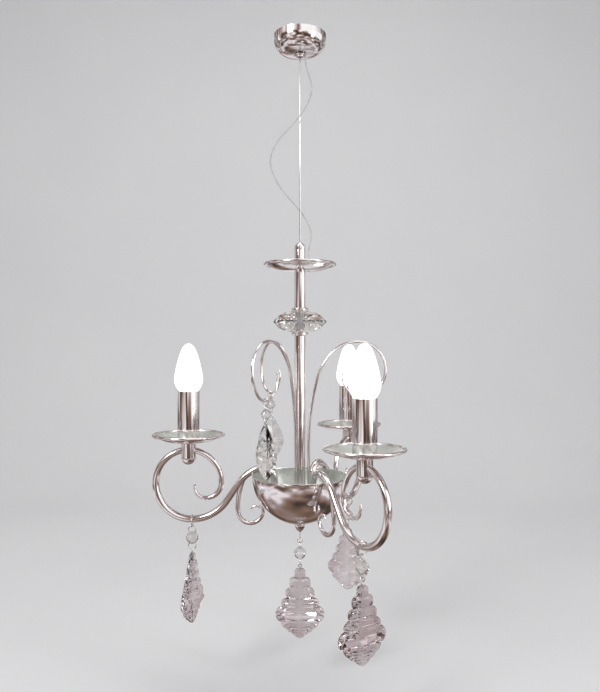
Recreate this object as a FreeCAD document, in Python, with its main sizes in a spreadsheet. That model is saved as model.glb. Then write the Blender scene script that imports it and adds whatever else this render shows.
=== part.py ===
import FreeCAD, Part
import math
import os
import Sketcher

# A small three-arm crystal chandelier, hung on a wire from a domed ceiling cup.
# Millimetres, +Z up. The origin is the centre of the face that meets the ceiling.
# Heights below the ceiling are negative. Arms and upper wires stand at even azimuths about Z.

doc = FreeCAD.newDocument("Chandelier")
Vector = FreeCAD.Vector
Rotation = FreeCAD.Rotation
UP = Vector(0, 0, 1)

# ---------------------------------------------------------------- driving sizes

SIZES = {
    # fits
    "seat_gap": 0.05, "running_gap": 0.3, "link_gap": 0.05,
    # ceiling plate, its screws and the canopy
    "bracket_gap": 1.8, "bracket_width": 14, "bracket_thick": 2, "bracket_tab": 20,
    "screw_spacing": 40, "screw_hole": 2.25,
    "canopy_radius": 32, "canopy_depth": 23.5, "canopy_wall": 1.2, "canopy_crown": 130, "canopy_flat": 18,
    "nipple_radius": 5, "nipple_bore": 3.8,
    "grip_radius": 8, "grip_inside": 6, "grip_flange": 1.6, "grip_collar": 5.2, "grip_collar_height": 1.6,
    "block_len": 16, "block_width": 10, "block_height": 8, "block_bore": 1.5,
    # suspension wire and flex
    "wire_radius": 0.9, "wire_ball": 2.6, "wire_exit": 1.6, "ball_cone": 1, "ball_rise": 2.5,
    "ferrule_height": 6, "flex_radius": 1, "flex_offset": 6.5,
    "bush_offset": 10.5, "bush_radius": 2.6, "bush_height": 4,
    # stem
    "stem_drop": 255, "cap_height": 9, "cap_crown": 2.2, "cap_spigot": 7,
    "stem_radius": 6.6, "stem_wall": 1, "rod_radius": 4, "nut_radius": 7, "nut_height": 4,
    "dish_drop": 25, "disc_drop": 97.5, "disc_radius": 33, "disc_height": 25.5,
    "disc_table": 12, "disc_break": 24.5, "disc_break_height": 8.5, "disc_sides": 12,
    "collar_radius": 10.2, "collar_height": 4.3,
    # pans: the top dish and the three candle pans are alike
    "pan_radius": 45, "pan_depth": 10.3, "pan_wall": 1, "floor_margin": 0.5, "pan_lip": 1.8, "pan_sweep": 62,
    # bowl
    "bowl_drop": 287, "bowl_radius": 58.5, "bowl_wall": 1.2,
    "hub_gap": 6.37, "hub_height": 5, "hub_below_rim": 30,
    "finial_radius": 6.5, "finial_waist": 5.9, "finial_height": 11,
    "finial_pin": 7.6, "finial_pin_radius": 0.75, "finial_eye": 2.6,
    # arms: the stem of a scroll, its shoulder over the bowl rim, its swoop and its coils
    "foot_inset": 7.6, "arm_tube": 4.25, "arm_tube_coil": 3.75, "arm_tube_end": 3.2, "arm_tip": 1.2,
    "arm_leg": 26, "arch_radius": 14, "arch_turn": 105, "shoulder_radius": 44.6, "shoulder_turn": 40,
    "reach_len": 28.2, "swoop_radius": 52, "scroll_radius": 44.8, "coil_radius": 40.4,
    "curl_radius": 19, "tip_radius": 14, "tip_turn": 105,
    # small scroll brazed under each arm's shoulder
    "small_tube": 2.85, "small_tip": 1.1, "small_from": 29, "small_heading": 66,
    "small_bend": 94, "small_bend_turn": 26, "small_even": 0.6,
    "small_scroll": 15.8, "small_scroll_turn": 158, "small_curl": 8, "small_curl_turn": 165,
    # candles
    "cup_radius": 9, "cup_height": 19, "cup_above_arm": 9.7,
    "sleeve_radius": 13.5, "sleeve_wall": 1, "sleeve_height": 61.8,
    "holder_gap": 0.7, "holder_height": 53.8, "holder_spigot": 4.8, "holder_spigot_len": 5.2,
    "lamp_cap_radius": 6.75, "lamp_cap_height": 18, "lamp_neck": 9.5, "lamp_neck_below": 2,
    "lamp_lower_arc": 28, "lamp_radius": 17.5,
    "lamp_widest": 14, "lamp_height": 58, "lamp_side_arc": 66, "lamp_tip": 3.4,
    # upper wires
    "bow_foot": 10.6, "bow_tube": 1.75, "bow_leg": 71, "bow_lean": 300, "bow_rise": 75,
    "bow_crown": 44, "bow_fall": 34, "bow_side": 38, "bow_heel": 24, "bow_curl": 25, "bow_tip": 20,
    "bow_lean_turn": 15, "bow_rise_turn": 30, "bow_side_turn": 45, "bow_tip_turn": 20,
    # crystal drops
    "ring_wire": 0.6, "hook_inner": 6.8, "bow_hook_inner": 3.6, "ring_mean": 4.6, "bow_ring_mean": 3.4,
    "bead_radius": 7.85, "bead_height": 13.7, "bead_table": 4, "bead_sides": 8, "bead_hole_in": 1.6,
    "bead_shoulder": 6.3, "bead_shoulder_height": 3.4, "bow_bead_shoulder": 4.8, "bow_bead_shoulder_height": 2.75,
    "bow_bead_radius": 6, "bow_bead_height": 11,
    "leaf_width": 60.5, "leaf_height": 86, "leaf_thick": 20, "leaf_edge": 3, "leaf_belly": 0.66,
    "almond_width": 37, "almond_height": 60, "almond_thick": 13, "almond_edge": 2, "almond_belly": 0.55,
    "pin_eye": 2, "pin_show": 1.2, "pin_in": 3, "left_twist": -15, "bow_front_twist": -20,
}

ARMS = {"left": 180, "front": -60, "back": 60}
BOWS = {"right": 0, "front": -120, "back": 120}

sheet = doc.addObject("Spreadsheet::Sheet", "Sizes")
for row, (alias, number) in enumerate(SIZES.items(), start=1):
    sheet.set("A%d" % row, alias)
    sheet.set("B%d" % row, str(number))
    sheet.setAlias("B%d" % row, alias)
doc.recompute()


class Size:
    """A number together with the sheet expression that it comes from."""

    def __init__(self, value, text):
        self.value = float(value)
        self.text = text

    def join(self, sign, other, value):
        return Size(value, "(%s %s %s)" % (self.text, sign, as_size(other).text))

    def __add__(self, other):
        return self.join("+", other, self.value + as_size(other).value)

    def __sub__(self, other):
        return self.join("-", other, self.value - as_size(other).value)

    def __mul__(self, other):
        return self.join("*", other, self.value * as_size(other).value)

    def __truediv__(self, other):
        return self.join("/", other, self.value / as_size(other).value)

    def __neg__(self):
        return Size(-self.value, "(-%s)" % self.text)


def as_size(number):
    return number if isinstance(number, Size) else Size(number, repr(float(number)))


def root(size):
    return Size(math.sqrt(size.value), "sqrt(%s)" % size.text)


def turn_x(reach, azimuth):
    return Size(reach.value * math.cos(math.radians(azimuth)), "(%s * cos(%d))" % (reach.text, azimuth))


def turn_y(reach, azimuth):
    return Size(reach.value * math.sin(math.radians(azimuth)), "(%s * sin(%d))" % (reach.text, azimuth))


class Sheet:
    """Every size of the sheet by its alias, as s.canopy_radius."""

    def __getattr__(self, alias):
        return Size(sheet.get(alias), "Sizes." + alias)


s = Sheet()
ZERO = as_size(0)
parts = []

# ---------------------------------------------------------------- ways of making a piece


def bind(thing, sizes):
    """Set each property of thing from a size, and bind it to the sheet."""
    for path, size in sizes.items():
        thing.setExpression(path, as_size(size).text)


def keep(thing, label):
    """Name a finished sub-part; it is written out under its label."""
    thing.Label = label
    parts.append(thing)
    return thing


def seat(thing, z=ZERO, reach=ZERO, azimuth=0, turn=None):
    """Stand thing at a reach and azimuth from the axis, z above the ceiling face."""
    rotation = Rotation(UP, azimuth) if turn is None else Rotation(UP, azimuth) * turn
    place = Vector(turn_x(reach, azimuth).value, turn_y(reach, azimuth).value, as_size(z).value)
    thing.Placement = FreeCAD.Placement(place, rotation)
    bind(thing, {"Placement.Base.x": turn_x(reach, azimuth), "Placement.Base.y": turn_y(reach, azimuth),
                 "Placement.Base.z": z})
    return thing


def arc_middle(start, end, radius):
    """The middle of the arc from start to end; a positive radius bulges to the right of the way."""
    chord = end - start
    half = chord.Length / 2
    reach = math.sqrt(max(radius * radius - half * half, 0))
    side = math.copysign(1, radius)
    right = Vector(chord.y, -chord.x, 0).normalize() * side
    return (start + end) / 2 + right * (abs(radius) - reach)


def profile(sketch, outline):
    """Draw a closed outline of (radius, height[, arc radius]) sizes, each corner bound to the sheet."""
    corners = [Vector(as_size(point[0]).value, as_size(point[1]).value, 0) for point in outline]
    count = len(outline)
    starts, ends = [], []
    for index in range(count):
        start, end = corners[index], corners[(index + 1) % count]
        point = outline[(index + 1) % count]
        if len(point) == 3:
            middle = arc_middle(start, end, point[2].value)
            forward = point[2].value > 0
            arc = Part.Arc(start, middle, end) if forward else Part.Arc(end, middle, start)
            edge = sketch.addGeometry(arc, False)
            size = point[2] if forward else -point[2]
            number = sketch.addConstraint(Sketcher.Constraint("Radius", edge, size.value))
            sketch.setExpression("Constraints[%d]" % number, size.text)
        else:
            edge = sketch.addGeometry(Part.LineSegment(start, end), False)
            forward = True
        starts.append((edge, 1 if forward else 2))
        ends.append((edge, 2 if forward else 1))
    for index in range(count):
        sketch.addConstraint(Sketcher.Constraint("Coincident", *ends[index], *starts[(index + 1) % count]))
    for index, point in enumerate(outline):
        for kind, size in (("DistanceX", as_size(point[0])), ("DistanceY", as_size(point[1]))):
            number = sketch.addConstraint(Sketcher.Constraint(kind, -1, 1, *starts[index], size.value))
            sketch.setExpression("Constraints[%d]" % number, size.text)


def turned(label, outline, **place):
    """A piece turned on a lathe: its half outline revolved about its own Z axis."""
    body = doc.addObject("PartDesign::Body", label)
    plane = [item for item in body.Origin.OriginFeatures if item.Role == "XZ_Plane"][0]
    sketch = body.newObject("Sketcher::SketchObject", label + "_outline")
    sketch.AttachmentSupport = (plane, [""])
    sketch.MapMode = "FlatFace"
    profile(sketch, outline)
    revolution = body.newObject("PartDesign::Revolution", label + "_turn")
    revolution.Profile = sketch
    revolution.ReferenceAxis = (sketch, ["V_Axis"])
    revolution.Angle = 360
    body.Tip = revolution
    return keep(seat(body, **place), label)


def primitive(kind, sizes, z=ZERO, x=ZERO, y=ZERO, turn=None):
    thing = doc.addObject("Part::" + kind, kind)
    if turn is not None:
        thing.Placement = FreeCAD.Placement(Vector(), turn)
    bind(thing, sizes)
    bind(thing, {"Placement.Base.x": x, "Placement.Base.y": y, "Placement.Base.z": z})
    return thing


def fused(things):
    thing = doc.addObject("Part::MultiFuse", "Fuse")
    thing.Shapes = things
    return thing


def cut(base, tools):
    thing = doc.addObject("Part::Cut", "Cut")
    thing.Base = base
    thing.Tool = tools[0] if len(tools) == 1 else fused(tools)
    return thing


def fixed_shape(shape, label, place=None):
    """A piece whose shape is worked out here from the sheet's numbers."""
    thing = doc.addObject("Part::Feature", label)
    thing.Shape = shape
    thing.Placement = place or FreeCAD.Placement()
    return keep(thing, label)


# ---------------------------------------------------------------- levels, from the ceiling down

canopy_bottom = -s.canopy_depth
grip_bottom = canopy_bottom - s.grip_flange
stem_top = -s.stem_drop
cap_bottom = stem_top - s.cap_height
dish_rim = stem_top - s.dish_drop
disc_middle = stem_top - s.disc_drop
bowl_rim = stem_top - s.bowl_drop
rod_hole = s.rod_radius + s.seat_gap
finial_seat = bowl_rim - root(s.bowl_radius * s.bowl_radius - rod_hole * rod_hole)
hub_top = bowl_rim - s.hub_below_rim
hub_bottom = hub_top - s.hub_height
swing_height = canopy_bottom + s.ball_rise

# reaches that follow from what a piece fits into
bracket_half = s.canopy_radius - s.canopy_wall - s.bracket_gap
pan_floor = s.sleeve_radius + s.floor_margin
bowl_inner = s.bowl_radius - s.bowl_wall
hub_depth = bowl_rim - hub_bottom
hub_radius = root(bowl_inner * bowl_inner - hub_depth * hub_depth) - s.hub_gap
arm_foot = hub_radius - s.foot_inset

# ---------------------------------------------------------------- ceiling plate and canopy


def ceiling_bracket():
    bar = primitive("Box", {"Length": bracket_half * 2, "Width": s.bracket_width, "Height": s.bracket_thick},
                    z=-s.bracket_thick, x=-bracket_half, y=-(s.bracket_width / 2))
    tab = primitive("Box", {"Length": s.block_len, "Width": s.bracket_tab, "Height": s.bracket_thick},
                    z=-s.bracket_thick, x=-(s.block_len / 2), y=ZERO)
    holes = [primitive("Cylinder", {"Radius": s.screw_hole, "Height": s.bracket_thick * 3},
                       z=-(s.bracket_thick * 2), x=s.screw_spacing / 2 * side) for side in (-1, 1)]
    keep(cut(fused([bar, tab]), holes), "ceiling_bracket")


def canopy_shell():
    """A cup with a slightly domed bottom that rolls up into a short straight side."""
    hole = s.nipple_radius + s.seat_gap
    slope = s.canopy_flat / s.canopy_crown
    upright = root(as_size(1) - slope * slope)
    knuckle = (s.canopy_radius - s.canopy_flat) / (as_size(1) - slope)
    crown_centre = canopy_bottom + s.canopy_crown
    centre_reach = s.canopy_radius - knuckle
    centre_level = crown_centre - (s.canopy_crown - knuckle) * upright

    def skin(inset):
        crown, roll = s.canopy_crown - inset, knuckle - inset
        return [(hole, crown_centre - root(crown * crown - hole * hole)),
                (centre_reach + roll * slope, centre_level - roll * upright, crown),
                (centre_reach + roll, centre_level, roll), (centre_reach + roll, ZERO)]

    outer, inner = skin(ZERO), skin(s.canopy_wall)
    turned("canopy_shell", outer + [inner[3], inner[2][:2], inner[1][:2] + (-inner[2][2],),
                                    inner[0] + (-inner[1][2],)])


def canopy_nipple():
    turned("canopy_nipple", [
        (s.nipple_bore, -s.bracket_thick), (s.nipple_bore, canopy_bottom + s.grip_inside),
        (s.nipple_radius, canopy_bottom + s.grip_inside), (s.nipple_radius, -s.bracket_thick)])


def cable_grip():
    """The round boss under the canopy: it clamps the shell and holds the wire's ball in a cone."""
    skirt = s.nipple_radius + s.seat_gap
    top = canopy_bottom + s.grip_inside
    exit_level = grip_bottom - s.grip_collar_height
    ball_seat = s.wire_ball + s.running_gap
    body = turned("cable_grip_blank", [
        (ball_seat, top - s.seat_gap), (ball_seat, swing_height),
        (s.wire_exit, swing_height - s.wire_ball - s.ball_cone), (s.wire_exit + s.wire_radius, exit_level),
        (s.grip_collar, exit_level), (s.grip_collar, grip_bottom), (s.grip_radius, grip_bottom),
        (s.grip_radius, grip_bottom + s.grip_flange / 2), (s.grip_collar + s.running_gap, canopy_bottom),
        (skirt - s.seat_gap * 2, canopy_bottom), (skirt - s.seat_gap * 2, top - s.seat_gap)])
    parts.remove(body)
    flex_hole = primitive("Cylinder", {"Radius": s.flex_radius + s.seat_gap, "Height": s.grip_flange * 3},
                          z=grip_bottom - s.grip_flange, x=s.flex_offset)
    keep(cut(body, [flex_hole]), "cable_grip")


def terminal_block():
    block = primitive("Box", {"Length": s.block_len, "Width": s.block_width, "Height": s.block_height},
                      z=-s.bracket_thick - s.block_height, x=-(s.block_len / 2),
                      y=s.bracket_tab - s.block_width)
    bores = [primitive("Cylinder", {"Radius": s.block_bore, "Height": s.block_width * 2},
                       z=-s.bracket_thick - s.block_height / 2, x=s.block_len / 4 * side,
                       y=s.bracket_tab + s.block_width / 2, turn=Rotation(Vector(1, 0, 0), 90))
             for side in (-1, 1)]
    keep(cut(block, bores), "terminal_block")


# ---------------------------------------------------------------- suspension wire, stem and bowl


def suspension_wire():
    """Steel wire with a ball at the grip and a crimped ferrule in the stem cap."""
    ferrule_top = stem_top - s.cap_crown
    ferrule = s.wire_ball
    ball_low = swing_height - root(s.wire_ball * s.wire_ball - s.wire_radius * s.wire_radius)
    turned("suspension_wire", [
        (ZERO, ferrule_top - s.ferrule_height), (ferrule, ferrule_top - s.ferrule_height),
        (ferrule, ferrule_top), (s.wire_radius, ferrule_top), (s.wire_radius, ball_low),
        (ZERO, swing_height + s.wire_ball, s.wire_ball)])


def stem_cap():
    chamber = s.wire_ball + s.seat_gap
    spigot = s.stem_radius - s.stem_wall - s.seat_gap
    turned("stem_cap", [
        (s.wire_radius + s.seat_gap, stem_top), (s.wire_radius + s.seat_gap, stem_top - s.cap_crown),
        (chamber, stem_top - s.cap_crown), (chamber, cap_bottom), (s.rod_radius + s.seat_gap, cap_bottom),
        (rod_hole, cap_bottom - s.cap_spigot), (spigot, cap_bottom - s.cap_spigot),
        (spigot, cap_bottom), (s.stem_radius, cap_bottom), (s.stem_radius, stem_top - s.cap_crown * 2),
        (s.wire_radius + s.cap_crown, stem_top, s.stem_radius)])


def tube(label, top, bottom):
    inner = s.stem_radius - s.stem_wall
    turned(label, [(inner, bottom), (s.stem_radius, bottom), (s.stem_radius, top), (inner, top)])


def pan(label, hole, **place):
    """A shallow dish with a rolled lip; its own origin is at the middle of its rim plane."""
    bottom = -s.pan_depth
    side = s.pan_radius - s.pan_lip
    blank = turned(label + "_blank", [
        (hole, bottom), (pan_floor, bottom), (side, -(s.pan_lip * 2), s.pan_sweep),
        (side, ZERO, s.pan_lip * 1.01), (side - s.pan_lip, -s.pan_lip), (pan_floor, bottom + s.pan_wall,
        -s.pan_sweep), (hole, bottom + s.pan_wall)], **place)
    parts.remove(blank)
    return blank


def top_pan():
    blank = pan("top_pan", s.stem_radius + s.seat_gap, z=dish_rim)
    hole = primitive("Cylinder", {"Radius": s.bush_radius + s.seat_gap, "Height": s.pan_depth * 3},
                     z=dish_rim - s.pan_depth * 2, x=s.bush_offset)
    keep(cut(blank, [hole]), "top_pan")


def cord_bush():
    floor = dish_rim - s.pan_depth
    bush = turned("cord_bush", [
        (ZERO, floor), (s.bush_radius, floor), (s.bush_radius, floor + s.pan_wall),
        (s.bush_radius + s.pan_wall, floor + s.pan_wall), (s.flex_radius, floor + s.bush_height),
        (ZERO, floor + s.bush_height)], z=ZERO, reach=s.bush_offset)
    return bush


def collars():
    rings = []
    for side in (1, -1):
        near = disc_middle + s.disc_height / 2 * side
        far = near + s.collar_height * side
        chamfer = s.stem_wall
        ring = turned("collar", [
            (rod_hole, near), (s.collar_radius, near), (s.collar_radius, far - chamfer * side),
            (s.collar_radius - chamfer, far), (rod_hole, far)])
        parts.remove(ring)
        rings.append(ring)
    group = doc.addObject("Part::Compound", "Collars")
    group.Links = rings
    keep(group, "disc_collars")


def polygon_ring(sides, radius, height, phase):
    return [Vector(radius * math.cos(math.tau * (index + phase) / sides),
                   radius * math.sin(math.tau * (index + phase) / sides), height)
            for index in range(sides)]


def faceted(rings):
    """A solid of flat facets between stacked rings of points, closed by its first and last ring."""
    faces = []
    for low, high in zip(rings, rings[1:]):
        count = len(low)
        for index in range(count):
            after = (index + 1) % count
            for corners in ((low[index], low[after], high[after]), (low[index], high[after], high[index])):
                if min(corners[0].distanceToPoint(corners[1]), corners[1].distanceToPoint(corners[2]),
                       corners[2].distanceToPoint(corners[0])) > 1e-6:
                    faces.append(Part.Face(Part.makePolygon([*corners, corners[0]])))
    for ring in (rings[0], rings[-1]):
        if ring[0].distanceToPoint(ring[1]) > 1e-6:
            faces.append(Part.Face(Part.makePolygon([*ring, ring[0]])))
    shell = Part.Shell(faces)
    shell.sewShape()
    solid = Part.Solid(shell)
    if solid.Volume < 0:
        solid.reverse()
    return solid


def crystal_disc():
    sides = int(s.disc_sides.value)
    half = s.disc_height.value / 2
    break_height = s.disc_break_height.value
    rings = [polygon_ring(sides, s.disc_table.value, -half, 0),
             polygon_ring(sides, s.disc_break.value, -break_height, 0),
             polygon_ring(sides, s.disc_radius.value, 0, 0),
             polygon_ring(sides, s.disc_break.value, break_height, 0),
             polygon_ring(sides, s.disc_table.value, half, 0)]
    bore = Part.makeCylinder(rod_hole.value, 4 * half, Vector(0, 0, -2 * half))
    place = FreeCAD.Placement(Vector(0, 0, disc_middle.value), Rotation())
    fixed_shape(faceted(rings).cut(bore), "crystal_disc", place)


def threaded_rod():
    """The rod that pulls the stem together, with the nut under the hub and the nut in the bowl."""
    low = finial_seat - s.finial_height / 2 + s.seat_gap
    rod = primitive("Cylinder", {"Radius": s.rod_radius, "Height": cap_bottom - low}, z=low)
    inner = bowl_inner
    bowl_nut = bowl_rim - root(inner * inner - s.nut_radius * s.nut_radius)
    nuts = []
    for level in (hub_bottom - s.nut_height, bowl_nut):
        nut = doc.addObject("Part::Prism", "Nut")
        nut.Polygon = 6
        bind(nut, {"Circumradius": s.nut_radius, "Height": s.nut_height, "Placement.Base.z": level})
        nuts.append(nut)
    keep(fused([rod] + nuts), "threaded_rod")


def bowl():
    """A thin half sphere, with a flat at its bottom for the finial and the nut."""
    inner = bowl_inner
    inner_low = -root(inner * inner - rod_hole * rod_hole)
    turned("bowl", [(rod_hole, finial_seat - bowl_rim), (s.bowl_radius, ZERO, s.bowl_radius),
                    (inner, ZERO), (rod_hole, inner_low, -inner)], z=bowl_rim)


def arm_hub():
    plate = primitive("Cylinder", {"Radius": hub_radius, "Height": s.hub_height}, z=hub_bottom)
    deep = {"Height": s.hub_height * 3}
    holes = [primitive("Cylinder", dict(deep, Radius=rod_hole), z=hub_bottom - s.hub_height)]
    for azimuth in ARMS.values():
        holes.append(primitive("Cylinder", dict(deep, Radius=s.arm_tube + s.seat_gap),
                               z=hub_bottom - s.hub_height, x=turn_x(arm_foot, azimuth),
                               y=turn_y(arm_foot, azimuth)))
    for azimuth in BOWS.values():
        holes.append(primitive("Cylinder", dict(deep, Radius=s.bow_tube + s.seat_gap),
                               z=hub_bottom - s.hub_height, x=turn_x(s.bow_foot, azimuth),
                               y=turn_y(s.bow_foot, azimuth)))
    keep(cut(plate, holes), "arm_hub")


def finial():
    """The turned knob that closes the bowl below, with the pin and eye of the lowest drop."""
    bore_low = finial_seat - s.finial_height / 2
    knob_low = finial_seat - s.finial_height
    pin_low = knob_low - s.finial_pin
    knob = turned("finial_knob", [
        (rod_hole, finial_seat), (s.finial_radius, finial_seat), (s.finial_waist, bore_low),
        (s.finial_pin_radius, knob_low, s.finial_radius), (s.finial_pin_radius, pin_low),
        (ZERO, pin_low), (ZERO, bore_low), (rod_hole, bore_low)])
    parts.remove(knob)
    eye_level = pin_low - s.finial_eye
    eye = primitive("Torus", {"Radius1": s.finial_eye, "Radius2": s.finial_pin_radius}, z=eye_level,
                    turn=Rotation(Vector(1, 0, 0), 90))
    keep(fused([knob, eye]), "finial")
    return eye_level


# ---------------------------------------------------------------- bent tubes in a radial plane


class Route:
    """A path in the plane of an arm, drawn as a straight run or an arc at a time, always tangent."""

    def __init__(self, reach, level, heading):
        self.spot = Vector(reach, 0, level)
        self.heading = heading
        self.legs = []

    def step(self, angle):
        turned_by = math.radians(self.heading + angle)
        return Vector(math.cos(turned_by), 0, math.sin(turned_by))

    def run(self, length):
        self.legs.append((self.spot, self.heading, length, 0))
        self.spot = self.spot + self.step(0) * length
        return self

    def bend(self, radius, turn):
        """An arc of this radius; a positive turn is anticlockwise with the reach to the right."""
        self.legs.append((self.spot, self.heading, radius, turn))
        self.spot = self.point(self.legs[-1], 1)
        self.heading += turn
        return self

    def point(self, leg, share):
        start, heading, length, turn = leg
        if not turn:
            way = math.radians(heading)
            return start + Vector(math.cos(way), 0, math.sin(way)) * length * share
        side = math.copysign(90, turn)
        inward = math.radians(heading + side)
        centre = start + Vector(math.cos(inward), 0, math.sin(inward)) * length
        outward = math.radians(heading + turn * share - side)
        return centre + Vector(math.cos(outward), 0, math.sin(outward)) * length

    def stations(self, per_turn=10):
        """Points and headings along the whole path, closer together where it bends."""
        found = [(self.legs[0][0], self.legs[0][1])]
        for leg in self.legs:
            count = max(1, math.ceil(abs(leg[3]) / per_turn))
            for index in range(1, count + 1):
                share = index / count
                found.append((self.point(leg, share), leg[1] + leg[3] * share))
        return found

    def lengths(self):
        return [abs(math.radians(leg[3])) * leg[2] if leg[3] else leg[2] for leg in self.legs]


def tapered_tube(stations, radii):
    """A round bar along the stations: a ruled skin between circles that lie square to the path."""
    circles = []
    for (spot, heading), radius in zip(stations, radii):
        way = math.radians(heading)
        circle = Part.makeCircle(radius, spot, Vector(math.cos(way), 0, math.sin(way)))
        circles.append(Part.Wire(circle))
    return Part.makeLoft(circles, True, True)


def radii_along(stations, marks):
    """Tube radii that follow (share of the path, radius) marks."""
    steps = [0.0]
    for before, after in zip(stations, stations[1:]):
        steps.append(steps[-1] + before[0].distanceToPoint(after[0]))
    shares = [step / steps[-1] for step in steps]
    radii = []
    for share in shares:
        for (low, low_radius), (high, high_radius) in zip(marks, marks[1:]):
            if share <= high + 1e-9:
                radii.append(low_radius + (high_radius - low_radius) * (share - low) / (high - low))
                break
    return radii


def arm_route():
    route = Route(arm_foot.value, hub_bottom.value, 90)
    route.run(s.arm_leg.value + s.hub_height.value)
    route.bend(s.arch_radius.value, -s.arch_turn.value)
    route.bend(s.shoulder_radius.value, -s.shoulder_turn.value)
    route.run(s.reach_len.value)
    falling = s.arch_turn.value + s.shoulder_turn.value - 90
    route.bend(s.swoop_radius.value, falling)
    foot = route.spot
    route.bend(s.scroll_radius.value, 90)
    route.bend(s.coil_radius.value, 90)
    crown = route.spot
    route.bend(s.coil_radius.value, 90)
    route.bend(s.curl_radius.value, 90)
    route.bend(s.tip_radius.value, s.tip_turn.value)
    return route, foot, crown


def small_route(arm):
    """The small scroll leaves the arm's shoulder, drops outside the bowl and curls in under it."""
    shoulder = arm.legs[2]
    share = s.small_from.value / s.shoulder_turn.value
    start = arm.point(shoulder, share)
    route = Route(start.x, start.z, -s.small_heading.value)
    route.bend(s.small_bend.value, -s.small_bend_turn.value)
    route.bend(s.small_scroll.value, -s.small_scroll_turn.value)
    route.bend(s.small_curl.value, -s.small_curl_turn.value)
    return route


def bow_route():
    route = Route(s.bow_foot.value, hub_bottom.value, 90)
    route.run(s.bow_leg.value + s.hub_height.value)
    lean, rise, side = s.bow_lean_turn.value, s.bow_rise_turn.value, s.bow_side_turn.value
    route.bend(s.bow_lean.value, -lean)
    route.bend(s.bow_rise.value, -rise)
    route.bend(s.bow_crown.value, lean + rise - 90)
    route.bend(s.bow_fall.value, -90)
    route.bend(s.bow_side.value, -side)
    route.bend(s.bow_heel.value, side - 90)
    heel = route.spot
    route.bend(s.bow_curl.value, -90)
    route.bend(s.bow_tip.value, -s.bow_tip_turn.value)
    return route, heel


def arm_piece(name, azimuth, route, small):
    lengths = route.lengths()
    total = sum(lengths)
    marks, gone = [(0.0, s.arm_tube.value)], 0.0
    for count, length in enumerate(lengths, start=1):
        gone += length
        radius = {7: s.arm_tube_coil, 8: s.arm_tube_coil, 9: s.arm_tube_end, 10: s.arm_tip}.get(count, s.arm_tube)
        marks.append((gone / total, radius.value))
    stations = route.stations()
    arm = tapered_tube(stations, radii_along(stations, marks))
    curl_stations = small.stations()
    curl_radii = radii_along(curl_stations, [(0.0, s.small_tube.value), (s.small_even.value, s.small_tube.value),
                                             (1.0, s.small_tip.value)])
    curl = tapered_tube(curl_stations, curl_radii)
    return fixed_shape(arm.fuse(curl), "arm_" + name, FreeCAD.Placement(Vector(), Rotation(UP, azimuth)))


def bow_piece(name, azimuth, route):
    stations = route.stations()
    shape = tapered_tube(stations, [s.bow_tube.value] * (len(stations) - 1) + [s.bow_tube.value / 2])
    return fixed_shape(shape, "upper_wire_" + name, FreeCAD.Placement(Vector(), Rotation(UP, azimuth)))


# ---------------------------------------------------------------- candles


def candle(name, azimuth, reach, crown_level):
    """Cup, pan, sleeve, lampholder and lamp on the crown of one scroll."""
    pan_bottom = as_size(crown_level) + s.cup_above_arm
    spot = {"reach": as_size(reach), "azimuth": azimuth}
    cup_low = pan_bottom - s.cup_height
    spigot_hole = s.holder_spigot + s.seat_gap
    bore_low = pan_bottom - s.holder_spigot_len - s.seat_gap
    shaft = turned("cup_blank_" + name, [
        (ZERO, cup_low - s.cup_radius), (s.cup_radius, cup_low, s.cup_radius), (s.cup_radius, pan_bottom),
        (spigot_hole, pan_bottom), (spigot_hole, bore_low), (ZERO, bore_low)], **spot)
    parts.remove(shaft)
    ring = doc.addObject("Part::Torus", "Bore")
    ring.Placement = FreeCAD.Placement(Vector(), Rotation(UP, azimuth) * Rotation(Vector(1, 0, 0), 90))
    bind(ring, {"Radius1": s.coil_radius, "Radius2": s.arm_tube_coil + s.running_gap,
                "Placement.Base.x": turn_x(as_size(reach), azimuth),
                "Placement.Base.y": turn_y(as_size(reach), azimuth),
                "Placement.Base.z": as_size(crown_level) - s.coil_radius})
    keep(cut(shaft, [ring]), "candle_cup_" + name)
    rim = pan_bottom + s.pan_depth
    keep(pan("candle_pan_" + name, spigot_hole, z=rim, **spot), "candle_pan_" + name)
    floor = pan_bottom + s.pan_wall
    sleeve_inner = s.sleeve_radius - s.sleeve_wall
    turned("candle_sleeve_" + name, [
        (sleeve_inner, floor), (s.sleeve_radius, floor), (s.sleeve_radius, floor + s.sleeve_height),
        (sleeve_inner, floor + s.sleeve_height)], **spot)
    holder_radius = sleeve_inner - s.holder_gap
    socket_bore = s.lamp_cap_radius + s.running_gap
    holder_top = floor + s.holder_height
    cap_seat = holder_top - s.lamp_cap_height - s.running_gap
    turned("lampholder_" + name, [
        (ZERO, pan_bottom - s.holder_spigot_len), (s.holder_spigot, pan_bottom - s.holder_spigot_len),
        (s.holder_spigot, floor), (holder_radius, floor), (holder_radius, holder_top),
        (socket_bore, holder_top), (socket_bore, cap_seat), (ZERO, cap_seat)], **spot)
    cap_low = holder_top - s.lamp_cap_height
    sleeve_top = floor + s.sleeve_height
    top = sleeve_top + s.lamp_height
    turned("lamp_" + name, [
        (ZERO, cap_low), (s.lamp_cap_radius, cap_low), (s.lamp_cap_radius, holder_top + s.running_gap),
        (s.lamp_neck, sleeve_top - s.lamp_neck_below),
        (s.lamp_radius, sleeve_top + s.lamp_widest, s.lamp_lower_arc),
        (s.lamp_tip, top - s.lamp_tip, s.lamp_side_arc), (ZERO, top, s.lamp_tip)], **spot)


# ---------------------------------------------------------------- crystal drops

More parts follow.
